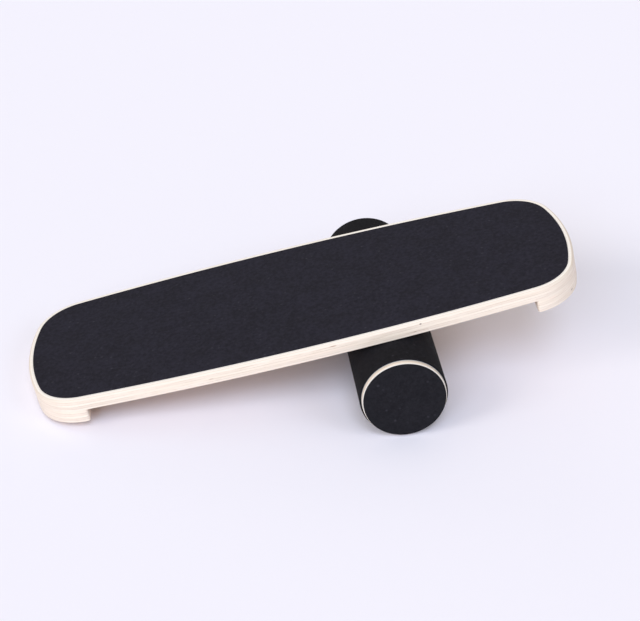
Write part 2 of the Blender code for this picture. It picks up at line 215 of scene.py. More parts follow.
def mirrored(rim, x_sign, y_sign):
    return [
        (Vector((x_sign * p.x, y_sign * p.y)), Vector((x_sign * d.x, y_sign * d.y)))
        for p, d in reversed(rim)
    ]


def quarter_rim():
    """Three tangent arcs, from the tip of the deck's right end to the middle of its far side."""
    half_length, half_width = DECK_LENGTH / 2, DECK_WIDTH / 2
    end_radius = (half_width**2 + END_BOW**2) / (2 * END_BOW)
    side_radius = (half_length**2 + SIDE_BOW**2) / (2 * SIDE_BOW)
    end_centre = Vector((half_length - end_radius, 0))
    side_centre = Vector((0, half_width - side_radius))
    corner = circle_crossing(
        end_centre, end_radius - CORNER_RADIUS, side_centre, side_radius - CORNER_RADIUS
    )
    end_angle = angle_of(corner - end_centre)
    side_angle = angle_of(corner - side_centre)
    rim = arc(end_centre, end_radius, 0, end_angle, END_SEGMENTS)
    rim += arc(corner, CORNER_RADIUS, end_angle, side_angle, CORNER_SEGMENTS)[1:]
    rim += arc(side_centre, side_radius, side_angle, math.pi / 2, SIDE_SEGMENTS)[1:]
    return rim


def deck_rim():
    quarter = quarter_rim()
    half = quarter + mirrored(quarter[:-1], -1, 1)
    return half + mirrored(half[1:-1], 1, -1)


def stop_rim(side):
    """The deck's end outline, closed by a straight inner edge with small round corners."""
    inner = side * STOP_STARTS[side]
    end = [(p, d) for p, d in quarter_rim() if p.x > inner + STOP_CORNER]
    corner = Vector((inner + STOP_CORNER, end[-1][0].y - STOP_CORNER))
    upper = end + arc(corner, STOP_CORNER, math.pi / 2, math.pi, STOP_CORNER_SEGMENTS)
    straight = Vector((inner, 0))
    upper += [(straight + Vector((0, y)), Vector((1, 0))) for y in STOP_EDGE_POINTS]
    whole = upper + [(straight, Vector((1, 0)))] + mirrored(upper, 1, -1)
    whole = whole[:-1]
    return [(side * p, side * d) for p, d in whole]


# Meshes


def finished(name, mesh, place, material, body, nodes):
    """Stores the mesh's own coordinates, places it, sets it on its body, and hides the CAD nodes that it stands in
    for.
    """
    own = mesh.attributes.new("own", "FLOAT_VECTOR", "POINT")
    coordinates = [value for vertex in mesh.vertices for value in vertex.co]
    own.data.foreach_set("vector", coordinates)
    mesh.transform(place)
    mesh.shade_smooth()
    mesh.set_sharp_from_angle(angle=SHARP_ANGLE)
    mesh.materials.clear()
    mesh.materials.append(material)
    piece = bpy.data.objects.new(name, mesh)
    bpy.context.scene.collection.objects.link(piece)
    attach(piece, body)
    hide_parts(*nodes)
    return piece


def mesh_of_rings(name, rings, capped=True, looped=False):
    """Quads between neighbouring rings of points. Capped ends are closed by a face, looped ones by quads."""
    shape = bmesh.new()
    loops = [[shape.verts.new(point) for point in ring] for ring in rings]
    pairs = list(zip(loops, loops[1:]))
    if looped:
        pairs.append((loops[-1], loops[0]))
    for lower, upper in pairs:
        count = len(lower)
        for i in range(count):
            j = (i + 1) % count
            shape.faces.new((lower[i], lower[j], upper[j], upper[i]))
    if capped:
        shape.faces.new(reversed(loops[0]))
        shape.faces.new(loops[-1])
    bmesh.ops.recalc_face_normals(shape, faces=shape.faces)
    mesh = bpy.data.meshes.new(name)
    shape.to_mesh(mesh)
    shape.free()
    return mesh


def quarter_turn(steps):
    """Sine and cosine over a quarter circle, from 0 to 90 degrees."""
    angles = [math.pi / 2 * step / steps for step in range(steps + 1)]
    return [(math.sin(a), math.cos(a)) for a in angles]


def sheet_mesh(name, rim, height, low_rounds, high_rounds):
    """A flat sheet from Z = 0 to height. Each rim has its own rounding at each point of the outline."""
    rings = []

    def add_ring(insets, levels):
        points = [(*(p + d * inset), z) for (p, d), inset, z in zip(rim, insets, levels)]
        rings.append([Vector(point) for point in points])

    add_ring([r + FLAT_LAP for r in low_rounds], [0] * len(rim))
    for sine, cosine in quarter_turn(ROUND_STEPS):
        add_ring([r * (1 - sine) for r in low_rounds], [r * (1 - cosine) for r in low_rounds])
    for sine, cosine in quarter_turn(ROUND_STEPS):
        add_ring([r * (1 - cosine) for r in high_rounds], [height - r * (1 - sine) for r in high_rounds])
    add_ring([r + FLAT_LAP for r in high_rounds], [height] * len(rim))
    return mesh_of_rings(name, rings)


def turned_mesh(name, profile, sides=TURNED_SIDES, looped=False):
    """A body turned about its own Z from (radius, height) points: capped, or looped if it is a ring."""
    rings = []
    for radius, height in profile:
        angles = [2 * math.pi * side / sides for side in range(sides)]
        rings.append([Vector((radius * math.cos(a), radius * math.sin(a), height)) for a in angles])
    return mesh_of_rings(name, rings, capped=not looped, looped=looped)


def plain_station(height, radius):
    """A station of a round bar with no thread: (height, crest, root, pitch), its pitch unused."""
    return (height, radius, radius, 1)


def threaded_stations(low, high, crest, root, pitch):
    """Stations from low to high along a thread, each (height, crest, root, pitch)."""
    count = int((high - low) / pitch * THREAD_STEPS)
    return [(low + (high - low) * step / count, crest, root, pitch) for step in range(count + 1)]


def thread_radius(height, angle, crest, root, pitch):
    """Radius of a helical thread with flat crests, at a height and an angle."""
    phase = (height / pitch - angle / (2 * math.pi)) % 1.0
    share = min(1.0, max(0.0, 1.15 - 2.3 * abs(phase - 0.5)))
    return root + (crest - root) * share


def threaded_mesh(name, stations):
    """A round bar from (height, crest, root, pitch) stations. A station with crest equal to root is plain."""
    rings = []
    for height, crest, root, pitch in stations:
        ring = []
        for side in range(THREAD_SIDES):
            angle = 2 * math.pi * side / THREAD_SIDES
            radius = thread_radius(height, angle, crest, root, pitch)
            ring.append(Vector((radius * math.cos(angle), radius * math.sin(angle), height)))
        rings.append(ring)
    return mesh_of_rings(name, rings)


def cut_away(mesh, cutter):
    """The mesh with one or more closed shapes subtracted from it."""
    body = bpy.data.objects.new("body_to_cut", mesh)
    tool = bpy.data.objects.new("cutting_tool", cutter)
    for obj in (body, tool):
        bpy.context.scene.collection.objects.link(obj)
    boolean = body.modifiers.new("cut", "BOOLEAN")
    boolean.operation = "DIFFERENCE"
    boolean.solver = "EXACT"
    boolean.object = tool
    graph = bpy.context.evaluated_depsgraph_get()
    result = bpy.data.meshes.new_from_object(body.evaluated_get(graph))
    result.name = mesh.name
    for obj in (body, tool):
        bpy.data.objects.remove(obj, do_unlink=True)
    return result


def joined(meshes, name):
    shape = bmesh.new()
    for mesh in meshes:
        shape.from_mesh(mesh)
        bpy.data.meshes.remove(mesh)
    made = bpy.data.meshes.new(name)
    shape.to_mesh(made)
    shape.free()
    return made


# Materials


class Nodes:
    """A material's node tree, with a short call for each kind of node used here."""

    def __init__(self, name):
        self.material = bpy.data.materials.new(name)
        self.material.use_nodes = True
        self.tree = self.material.node_tree
        self.shader = self.tree.nodes["Principled BSDF"]

    def put(self, socket, value):
        if isinstance(value, bpy.types.NodeSocket):
            self.tree.links.new(value, socket)
        elif value is not None:
            socket.default_value = value

    def add(self, kind, inputs=(), **settings):
        node = self.tree.nodes.new(kind)
        for key, value in settings.items():
            setattr(node, key, value)
        for key, value in dict(inputs).items():
            self.put(node.inputs[key], value)
        return node

    def math(self, operation, a, b=None, c=None):
        return self.add("ShaderNodeMath", {0: a, 1: b, 2: c}, operation=operation).outputs[0]

    def mix(self, share, a, b):
        """Between two colours."""
        node = self.add("ShaderNodeMix", data_type="RGBA")
        for socket, value in ((node.inputs[0], share), (node.inputs[6], a), (node.inputs[7], b)):
            self.put(socket, value)
        return node.outputs[2]

    def blend(self, share, a, b):
        """Between two numbers."""
        node = self.add("ShaderNodeMix", data_type="FLOAT")
        for socket, value in ((node.inputs[0], share), (node.inputs[2], a), (node.inputs[3], b)):
            self.put(socket, value)
        return node.outputs[0]

    def smooth(self, value, low, high, from_value=0.0, to_value=1.0):
        """A smooth step from from_value to to_value as value goes from low to high."""
        inputs = {"Value": value, "From Min": low, "From Max": high, "To Min": from_value, "To Max": to_value}
        return self.add("ShaderNodeMapRange", inputs, interpolation_type="SMOOTHSTEP").outputs[0]

    def stretch(self, vector, scale):
        return self.add("ShaderNodeMapping", {"Vector": vector, "Scale": scale}).outputs[0]

    def noise(self, vector, scale, detail=2.0, roughness=0.5, distortion=0.0):
        inputs = {
            "Vector": vector,
            "Scale": scale,
            "Detail": detail,
            "Roughness": roughness,
            "Distortion": distortion,
        }
        return self.add("ShaderNodeTexNoise", inputs).outputs[0]

    def own(self):
        """The piece's own coordinates, in metres."""
        return self.add("ShaderNodeAttribute", attribute_name="own").outputs["Vector"]

    def split(self, vector):
        return self.add("ShaderNodeSeparateXYZ", {0: vector}).outputs

    def join(self, x, y, z):
        return self.add("ShaderNodeCombineXYZ", {0: x, 1: y, 2: z}).outputs[0]

    def faces_along(self, direction):
        """How squarely the surface faces a direction of the row frame, from 0 to 1."""
        normal = self.add("ShaderNodeTexCoord").outputs["Normal"]
        dot = self.add("ShaderNodeVectorMath", {0: normal, 1: direction}, operation="DOT_PRODUCT")
        return self.math("ABSOLUTE", dot.outputs["Value"])

    def bump(self, height, distance, strength=1.0):
        inputs = {"Height": height, "Distance": distance, "Strength": strength}
        return self.add("ShaderNodeBump", inputs).outputs[0]

    def finish(self, colour, roughness, normal=None, **constants):
        self.put(self.shader.inputs["Base Color"], colour)
        self.put(self.shader.inputs["Roughness"], roughness)
        if normal is not None:
            self.put(self.shader.inputs["Normal"], normal)
        for name, value in constants.items():
            self.shader.inputs[name.replace("_", " ")].default_value = value
        return self.material


PALE_WOOD = (0.835, 0.742, 0.635, 1)
WARM_WOOD = (0.79, 0.684, 0.567, 1)
ROSY_WOOD = (0.795, 0.655, 0.558, 1)
END_GRAIN = (0.68, 0.568, 0.475, 1)
# painted shade for the plywood's rounded rims, not a colour of the wood
ROUNDING_SHADE = (0.66, 0.582, 0.504, 1)
TOP_VENEER = (0.88, 0.84, 0.79, 1)
UNDERSIDE = (0.84, 0.59, 0.39, 1)
GLUE = (0.38, 0.25, 0.17, 1)
KNOT = (0.13, 0.085, 0.07, 1)
STREAK = (0.34, 0.20, 0.14, 1)
STREAK_HEIGHT = 0.0008  # a mark with a half height up to this is a streak, and a higher one is a knot
DECK_GRIP = (0.0112, 0.0107, 0.0166, 1), (0.0214, 0.0204, 0.0311, 1)  # dark and light
# The roller's sleeve is the same grip as the deck's, painted darker: painted shade.
SHADED_ROLLER_GRIP = (0.0055, 0.0052, 0.0070, 1), (0.0105, 0.0100, 0.0128, 1)
END_PAD = (0.0074, 0.0071, 0.0096, 1), (0.0135, 0.0130, 0.0165, 1)
SPECK = (0.055, 0.053, 0.066, 1)
GRIP_GRAIN = 0.0007
ZINC_BLUE, ZINC_YELLOW = (0.60, 0.61, 0.64, 1), (0.66, 0.64, 0.58, 1)
PIPE_DARK, PIPE_LIGHT = (0.33, 0.34, 0.35, 1), (0.40, 0.41, 0.42, 1)

# Knots and open gaps on the edge: (along, height, half length, half height, side, darkness)
DECK_MARKS = (
    (0.146, 0.0143, 0.0018, 0.0010, -1.0, 0.85),
    (0.140, 0.0053, 0.0190, 0.0005, -1.0, 0.65),
    (0.137, 0.0051, 0.0030, 0.0006, -1.0, 0.80),
    (0.088, 0.0092, 0.0130, 0.0004, -1.0, 0.40),
    (0.031, 0.0142, 0.0048, 0.0008, -1.0, 0.75),
    (0.020, 0.0140, 0.0180, 0.0005, -1.0, 0.35),
    (-0.082, 0.0142, 0.0150, 0.0006, -1.0, 0.32),
    (-0.040, 0.0147, 0.0130, 0.0005, -1.0, 0.26),
    (-0.130, 0.0077, 0.0042, 0.0006, -1.0, 0.60),
    (-0.210, 0.0102, 0.0016, 0.0010, 1.0, 0.80),
    (0.085, 0.0070, 0.0130, 0.0004, 1.0, 0.40),
    (0.246, 0.0088, 0.0022, 0.0011, 1.0, 0.60),
)
STOP_MARKS = {
    "left": ((-0.300, 0.0132, 0.0060, 0.0004, -1.0, 0.25),),
    "right": (
        (0.349, 0.0065, 0.0018, 0.0013, -1.0, 0.60),
        (0.334, 0.0160, 0.0090, 0.0004, -1.0, 0.30),
    ),
}


def plywood(name, grain, cross_grain, face, marks=()):
    """Lacquered plywood of crossed plies, its own X, Y and Z along grain, cross_grain and face.

    marks are knots and open gaps on the edge, as in DECK_MARKS.
    """
    n = Nodes(name)
    x, y, z = n.split(n.own())
    inside = n.math("MINIMUM", n.math("MAXIMUM", z, BOTTOM_SKIN), TOP_SKIN)
    layer = n.math("FLOOR", n.math("DIVIDE", inside, PLY))
    crossed = n.math("MODULO", layer, 2.0)
    along = n.blend(crossed, x, y)
    across = n.blend(crossed, y, x)
    solid = n.join(along, n.math("MULTIPLY_ADD", layer, 0.37, across), z)

    # Long soft figure of the ply, fine fibres in it, and pores
    figure = n.noise(n.stretch(solid, (3.0, 38.0, 60.0)), 1.0, 3.0, 0.55, 0.6)
    fibres = n.noise(n.stretch(solid, (14.0, 520.0, 760.0)), 1.0, 3.0, 0.6)
    pores = n.noise(n.stretch(solid, (90.0, 2600.0, 2600.0)), 1.0, 1.0)
    rosy = n.noise(n.stretch(solid, (8.0, 150.0, 380.0)), 1.0, 2.0, 0.5)
    colour = n.mix(n.smooth(figure, 0.36, 0.68), PALE_WOOD, WARM_WOOD)
    colour = n.mix(n.math("MULTIPLY", n.smooth(rosy, 0.54, 0.70), 0.65), colour, ROSY_WOOD)

    # Cut ends of the fibres read darker, more in some stretches of the rim than in others
    end_on = n.blend(crossed, n.faces_along(grain), n.faces_along(cross_grain))
    drift = n.noise(n.stretch(solid, (7.0, 7.0, 0.0)), 1.0, 2.0)
    ends = n.math("MULTIPLY", n.smooth(end_on, 0.2, 1.0), n.smooth(drift, 0.35, 0.65, 0.15, 0.6))
    colour = n.mix(ends, colour, END_GRAIN)

    # Painted shade on the rims' roundings, deepest where they slope halfway between face and edge, tones down the
    # extra light that they catch; the top veneer reads paler and the lowest one warmer
    level = n.faces_along(face)
    upright = n.math("SQRT", n.math("SUBTRACT", 1.0, n.math("MULTIPLY", level, level)))
    slope = n.math("MULTIPLY", level, upright)
    colour = n.mix(n.smooth(slope, 0.15, 0.5, 0.0, 0.7), colour, ROUNDING_SHADE)
    flat = n.smooth(level, 0.8, 0.99)
    top = n.math("MULTIPLY", n.math("GREATER_THAN", z, TOP_SKIN), flat)
    colour = n.mix(n.math("MULTIPLY", top, 0.8), colour, TOP_VENEER)
    underneath = n.math("MULTIPLY", n.math("LESS_THAN", z, BOTTOM_SKIN), flat)
    colour = n.mix(underneath, colour, UNDERSIDE)
    colour = n.mix(n.math("MULTIPLY", n.smooth(fibres, 0.50, 0.80), 0.35), colour, END_GRAIN)
    colour = n.mix(n.math("MULTIPLY", n.smooth(pores, 0.68, 0.80), 0.22), colour, GLUE)

    # Thin glue lines between the plies, which fade in and out along the rim
    nearest = n.math("ROUND", n.math("DIVIDE", inside, PLY))
    to_line = n.math("ABSOLUTE", n.math("SUBTRACT", z, n.math("MULTIPLY", nearest, PLY)))
    below_top = n.math("LESS_THAN", z, (PLIES - 0.5) * PLY)
    between = n.math("MULTIPLY", n.math("GREATER_THAN", z, PLY / 2), below_top)
    patchy = n.noise(n.join(n.math("MULTIPLY", x, 26.0), n.math("MULTIPLY", y, 26.0), nearest), 1.0, 4.0, 0.6)
    line = n.smooth(to_line, 0.0, GLUE_LINE, 1.0, 0.0)
    line = n.math("MULTIPLY", n.math("MULTIPLY", line, between), n.smooth(patchy, 0.38, 0.64, 0.12, 0.85))
    colour = n.mix(line, colour, GLUE)
    relief = n.math("SUBTRACT", n.math("MULTIPLY", fibres, -0.5), line)

    for at, height, half_length, half_height, side, darkness in marks:
        du = n.math("DIVIDE", n.math("SUBTRACT", x, at), half_length)
        dv = n.math("DIVIDE", n.math("SUBTRACT", z, height), half_height)
        away = n.math("SQRT", n.math("MULTIPLY_ADD", du, du, n.math("MULTIPLY", dv, dv)))
        ragged = n.math("MULTIPLY_ADD", n.math("SUBTRACT", fibres, 0.5), 0.9, away)
        mark = n.smooth(ragged, 0.45, 1.15, darkness, 0.0)
        mark = n.math("MULTIPLY", mark, n.math("GREATER_THAN", n.math("MULTIPLY", y, side), 0.0))
        colour = n.mix(mark, colour, KNOT if half_height > STREAK_HEIGHT else STREAK)
        relief = n.math("SUBTRACT", relief, mark)

    roughness = n.smooth(fibres, 0.3, 0.8, 0.42, 0.58)
    normal = n.bump(relief, 0.00006, 0.7)
    return n.finish(colour, roughness, normal, Coat_Weight=0.12, Coat_Roughness=0.28)


def grip(name, dark, light):
    """Matte black grip sheet: a fine even grain, soft mottling, and a few pale specks of dust."""
    n = Nodes(name)
    own = n.own()
    coarse = n.noise(own, 0.55 / GRIP_GRAIN, 3.0, 0.6)
    fine = n.noise(own, 1.9 / GRIP_GRAIN, 2.0, 0.55)
    mottle = n.noise(own, 190.0, 4.0, 0.75)
    cloud = n.noise(own, 22.0, 4.0, 0.62)
    tone = n.math("ADD", n.math("MULTIPLY", mottle, 0.62), n.math("MULTIPLY", cloud, 0.30))
    tone = n.math("MULTIPLY_ADD", coarse, 0.08, tone)
    colour = n.mix(n.smooth(tone, 0.36, 0.64), dark, light)
    grains = n.add("ShaderNodeTexVoronoi", {"Vector": own, "Scale": 90.0})
    lit = n.split(grains.outputs["Color"])[0]
    speck = n.math("MULTIPLY", n.smooth(grains.outputs["Distance"], 0.08, 0.20, 1.0, 0.0), lit)
    colour = n.mix(n.math("MULTIPLY", speck, 0.36), colour, SPECK)
    relief = n.math("ADD", coarse, n.math("MULTIPLY", fine, 0.5))
    roughness = n.smooth(cloud, 0.3, 0.7, 0.80, 0.92)
    normal = n.bump(relief, 0.00022, 0.8)
    return n.finish(colour, roughness, normal, Specular_IOR_Level=0.12)


def zinc_steel(name):
    """Bright zinc plating: faintly blue and yellow clouds over fine turning marks."""
    n = Nodes(name)
    own = n.own()
    cloud = n.noise(own, 160.0, 3.0, 0.5)
    scuffs = n.noise(own, 1800.0, 2.0, 0.6)
    colour = n.mix(n.smooth(cloud, 0.35, 0.65), ZINC_BLUE, ZINC_YELLOW)
    roughness = n.smooth(scuffs, 0.25, 0.75, 0.24, 0.44)
    return n.finish(colour, roughness, n.bump(scuffs, 0.00002, 0.5), Metallic=1.0)


def pipe_plastic(name):
    """Extruded grey pipe: faint draw lines along its length."""
    n = Nodes(name)
    own = n.own()
    lines = n.noise(n.stretch(own, (900.0, 900.0, 4.0)), 1.0, 2.0)
    cloud = n.noise(own, 30.0, 3.0)
    colour = n.mix(n.smooth(cloud, 0.3, 0.7), PIPE_DARK, PIPE_LIGHT)
    roughness = n.smooth(lines, 0.3, 0.7, 0.34, 0.46)
    return n.finish(colour, roughness, n.bump(lines, 0.00003, 0.5))


# Deck


def screw_places(side):
    along = side * (DECK_LENGTH / 2 - SCREW_INSET)
    return [(along, row) for row in SCREW_ROWS]


def shafts(name, places, profile):
    """One closed turned shape at each place, as one mesh."""
    made = []
    for along, across in places:
        mesh = turned_mesh(name, profile, sides=HARDWARE_SIDES)
        mesh.transform(Matrix.Translation((along, across, 0)))
        made.append(mesh)
    return joined(made, name)


def make_deck_board():
    height = span("deck_board", DECK_UP)[1] - span("deck_board", DECK_UP)[0]
    rim = deck_rim()
    low = [LOW_ROUND if STOP_STARTS[-1] < p.x < STOP_STARTS[1] else JOINT_ROUND for p, _ in rim]
    high = [TOP_ROUND] * len(rim)
    mesh = sheet_mesh("deck_board", rim, height, low, high)
    stop_height = span("left_end_stop", DECK_UP)[1] - span("left_end_stop", DECK_UP)[0]
    depth = SCREW_LENGTH + SCREW_SINK - stop_height + HOLE_CLEARANCE
    radius = SCREW_CREST + HOLE_CLEARANCE
    places = screw_places(-1) + screw_places(1)
    pilots = shafts("pilots", places, [(radius, -CUT_PAST), (radius, depth)])
    mesh = cut_away(mesh, pilots)
    material = plywood("deck_plywood", DECK_ALONG, DECK_ACROSS, DECK_UP, DECK_MARKS)
    place = on_deck("deck_board")
    return finished("deck_board_sheet", mesh, place, material, "deck", ["deck_board"])


def grip_rim():
    """The deck's outline set in by the grip sheet's margins, of which the far one is the widest."""
    near, far = span("deck_grip", DECK_ACROSS, DECK_CENTRE)
    share = (far - near) / (DECK_WIDTH - 2 * GRIP_MARGIN)
    inner = [(p + d * GRIP_MARGIN, d) for p, d in deck_rim()]
    return [(Vector((p.x, p.y * share + (near + far) / 2)), d) for p, d in inner]


def make_deck_grip():
    board_top = span("deck_board", DECK_UP)[1]
    height = span("deck_grip", DECK_UP)[1] - board_top
    rim = grip_rim()
    mesh = sheet_mesh("deck_grip", rim, height, [GRIP_LOW_ROUND] * len(rim), [GRIP_ROUND] * len(rim))
    place = on_deck("deck_grip")
    place = Matrix.Translation(-DECK_UP * (span("deck_grip", DECK_UP)[0] - board_top)) @ place
    material = grip("deck_grip_sheet", *DECK_GRIP)
    return finished("deck_grip_mat", mesh, place, material, "deck", ["deck_grip"])


def make_end_stop(side, end, material):
    node = f"{end}_end_stop"
    board_low = span("deck_board", DECK_UP)[0]
    height = board_low - span(node, DECK_UP)[0]
    rim = stop_rim(side)
    mesh = sheet_mesh(node, rim, height, [LOW_ROUND] * len(rim), [JOINT_ROUND] * len(rim))
    narrow = SCREW_CREST + HOLE_CLEARANCE
    wide = SCREW_HEAD_RADIUS + HOLE_CLEARANCE
    profile = [
        (wide, -CUT_PAST),
        (wide, SCREW_SINK + SCREW_HEAD_RIM),
        (narrow, SCREW_SINK + SCREW_HEAD_HEIGHT),
        (narrow, height + CUT_PAST),
    ]
    mesh = cut_away(mesh, shafts("countersinks", screw_places(side), profile))
    finished(f"{end}_stop_block", mesh, on_deck(node), material, "deck", [node])


def screw_mesh():
    """A countersunk wood screw with a cross recess: its head's face at Z = 0, its tip up."""
    neck = SCREW_HEAD_HEIGHT + SCREW_NECK
    start_tip = SCREW_LENGTH - SCREW_TIP
    thread = (SCREW_CREST, SCREW_SHANK, SCREW_PITCH)
    stations = [
        plain_station(0, SCREW_HEAD_RADIUS),
        plain_station(SCREW_HEAD_RIM, SCREW_HEAD_RADIUS),
        plain_station(SCREW_HEAD_HEIGHT, SCREW_SHANK + SCREW_NECK_STEP),
        plain_station(neck, SCREW_SHANK + SCREW_NECK_STEP),
    ]
    stations += threaded_stations(neck + SCREW_RUN_IN, start_tip, *thread)
    for height, crest, root, pitch in threaded_stations(start_tip, SCREW_LENGTH, *thread)[1:]:
        left = max(SCREW_TIP_LEFT, (SCREW_LENGTH - height) / SCREW_TIP)
        stations.append((height, crest * left, root * left, pitch))
    screw = threaded_mesh("stop_screw", stations)
    for turn in (0, math.pi / 2):
        screw = cut_away(screw, recess_wing(turn))
    return screw


def recess_wing(turn):
    """One bar of a screw's cross recess, narrower at its foot."""
    shape = bmesh.new()
    bmesh.ops.create_cube(shape, size=1.0)
    bmesh.ops.scale(shape, vec=(RECESS_SPAN, RECESS_WIDTH, 2 * RECESS_DEPTH), verts=shape.verts)
    for vert in shape.verts:
        if vert.co.z > 0:
            vert.co.x *= RECESS_FOOT_SPAN
            vert.co.y *= RECESS_FOOT_WIDTH
    bmesh.ops.rotate(shape, cent=(0, 0, 0), matrix=Matrix.Rotation(turn, 3, "Z"), verts=shape.verts)
    wing = bpy.data.meshes.new("wing")
    shape.to_mesh(wing)
    shape.free()
    return wing


def make_stop_screws(material):
    pattern = screw_mesh()
    for side, end in ((-1, "left"), (1, "right")):
        for number, (along, across) in enumerate(screw_places(side), 1):
            node = f"{end}_stop_screw_{number}"
            place = on_deck(f"{end}_end_stop") @ Matrix.Translation((along, across, SCREW_SINK))
            turned = place @ Matrix.Rotation(SCREW_TURN * number + side, 4, "Z")
            finished(f"{node}_steel", pattern.copy(), turned, material, "deck", [node])


# Roller


def round_rim(radius, height, size):
    """A quarter round at a turned piece's upper corner, and the start of the flat face inside it."""
    rounds = quarter_turn(ROUND_STEPS)
    points = [(radius - size * (1 - cosine), height - size * (1 - sine)) for sine, cosine in rounds]
    return [*points, (radius - size - FLAT_LAP, height)]


def make_roller_wrap():
    """The grip sleeve: a sheet bent round the tube, its two edges meeting along a fine seam."""
    low, high = span("roller_wrap", DECK_ACROSS)
    outer = radii("roller_wrap")[1]
    tube_outer = radii("roller_tube")[1]
    half_gap = WRAP_SEAM / 2 / outer
    angles = [half_gap + (2 * math.pi - 2 * half_gap) * i / TURNED_SIDES for i in range(TURNED_SIDES + 1)]
    angles = [angle + WRAP_SEAM_ANGLE for angle in angles]

    def ring(inset, height):
        eases = [WRAP_SEAM_EASE, *[0] * (TURNED_SIDES - 1), WRAP_SEAM_EASE]
        outer_side = [(outer - inset - ease, a) for ease, a in zip(eases, angles)]
        inner_side = [(tube_outer, a) for a in reversed(angles)]
        return [Vector((r * math.cos(a), r * math.sin(a), height)) for r, a in outer_side + inner_side]

    length = high - low
    rounds = quarter_turn(ROUND_STEPS)
    rings = [ring(WRAP_ROUND * (1 - sine), WRAP_ROUND * (1 - cosine)) for sine, cosine in rounds]
    rings += [ring(0, length * step / WRAP_STEPS) for step in range(1, WRAP_STEPS)]
    rings += [ring(WRAP_ROUND * (1 - cosine), length - WRAP_ROUND * (1 - sine)) for sine, cosine in rounds]
    mesh = mesh_of_rings("roller_wrap", rings, capped=False)
    close_strip_ends(mesh)
    # painted shade: the sleeve's grip is darker than the deck's, though it is the same grip
    material = grip("roller_grip", *SHADED_ROLLER_GRIP)
    place = on_roller(1, low)
    # Own X and Y lie in the roller's round section: its X is the row frame's X, its Y points down.
    finished("roller_wrap_sleeve", mesh, place, material, "roller", ["roller_wrap"])


def close_strip_ends(mesh):
    """Closes both ends of a bent strip with quads between its outer and inner sides."""
    shape = bmesh.new()
    shape.from_mesh(mesh)
    shape.verts.ensure_lookup_table()
    per_ring = 2 * (TURNED_SIDES + 1)
    for first in (0, len(shape.verts) - per_ring):
        for i in range(TURNED_SIDES):
            across = per_ring - 1 - i
            corners = (first + i, first + i + 1, first + across - 1, first + across)
            shape.faces.new([shape.verts[c] for c in corners])
    bmesh.ops.recalc_face_normals(shape, faces=shape.faces)
    shape.to_mesh(mesh)
    shape.free()


def make_roller_tube():
    low, high = span("roller_tube", DECK_ACROSS)
    inner, outer = radii("roller_tube")
    ease = TUBE_EASE
    length = high - low
    profile = [
        (outer - ease, 0),
        (outer, ease),
        (outer, length - ease),
        (outer - ease, length),
        (inner + ease, length),
        (inner, length - ease),
        (inner, ease),
        (inner + ease, 0),
    ]
    mesh = turned_mesh("roller_tube", profile, looped=True)
    material = pipe_plastic("tube_plastic")
    finished(
        "roller_tube_pipe", mesh, on_roller(1, low), material, "roller", ["roller_tube"]
    )


def make_end(end, facing, steel, disc_wood, pad_grip):
    """Disc, end pad, washer and nut at one end. Heights run outwards from the disc's inner face."""
    disc, pad = f"{end}_end_disc", f"{end}_end_pad"
    reach = [facing * value for value in span(disc, DECK_ACROSS)]
    start, face = min(reach), max(reach)
    plug = radii("roller_tube")[0] - PLUG_CLEARANCE
    bore, flange = radii(disc)
    step = DISC_THICKNESS - DISC_FLANGE
    floor = DISC_THICKNESS - DISC_COUNTERBORE_DEPTH
    profile = [
        (bore, 0),
        (plug - PLUG_EASE, 0),
        (plug, PLUG_EASE),
        (plug, step),
        (flange, step),
        *round_rim(flange, DISC_THICKNESS, DISC_ROUND),
        (DISC_COUNTERBORE, DISC_THICKNESS),
        (DISC_COUNTERBORE, floor),
        (bore, floor),
    ]
    mesh = turned_mesh(disc, profile, looped=True)
    place = on_roller(facing, facing * start)
    finished(f"{disc}_ply", mesh, place, disc_wood, "roller", [disc])

    outer = radii(pad)[1]
    reach = [facing * value for value in span(pad, DECK_ACROSS)]
    thickness = max(reach) - face
    profile = [
        (outer - PAD_BACK_EASE, 0),
        (outer, PAD_BACK_RISE),
        *round_rim(outer, thickness, PAD_ROUND),
    ]
    mesh = turned_mesh(pad, profile)
    piece = finished(
        f"{pad}_facing", mesh, on_roller(facing, facing * face), pad_grip, "roller", [pad]
    )
    make_washer(f"{end}_washer", facing, steel)
    make_nut(f"{end}_nut", facing, steel)


def make_washer(node, facing, steel):
    inner, outer = radii(node)
    reach = [facing * value for value in span(node, DECK_ACROSS)]
    low, thickness = min(reach), max(reach) - min(reach)
    ease = WASHER_EASE
    profile = [
        (inner, ease),
        (inner + ease, 0),
        (outer - ease, 0),
        (outer, ease),
        (outer, thickness - ease),
        (outer - ease, thickness),
        (inner + ease, thickness),
        (inner, thickness - ease),
    ]
    mesh = turned_mesh(node, profile, sides=HARDWARE_SIDES, looped=True)
    finished(f"{node}_steel", mesh, on_roller(facing, facing * low), steel, "roller", [node])


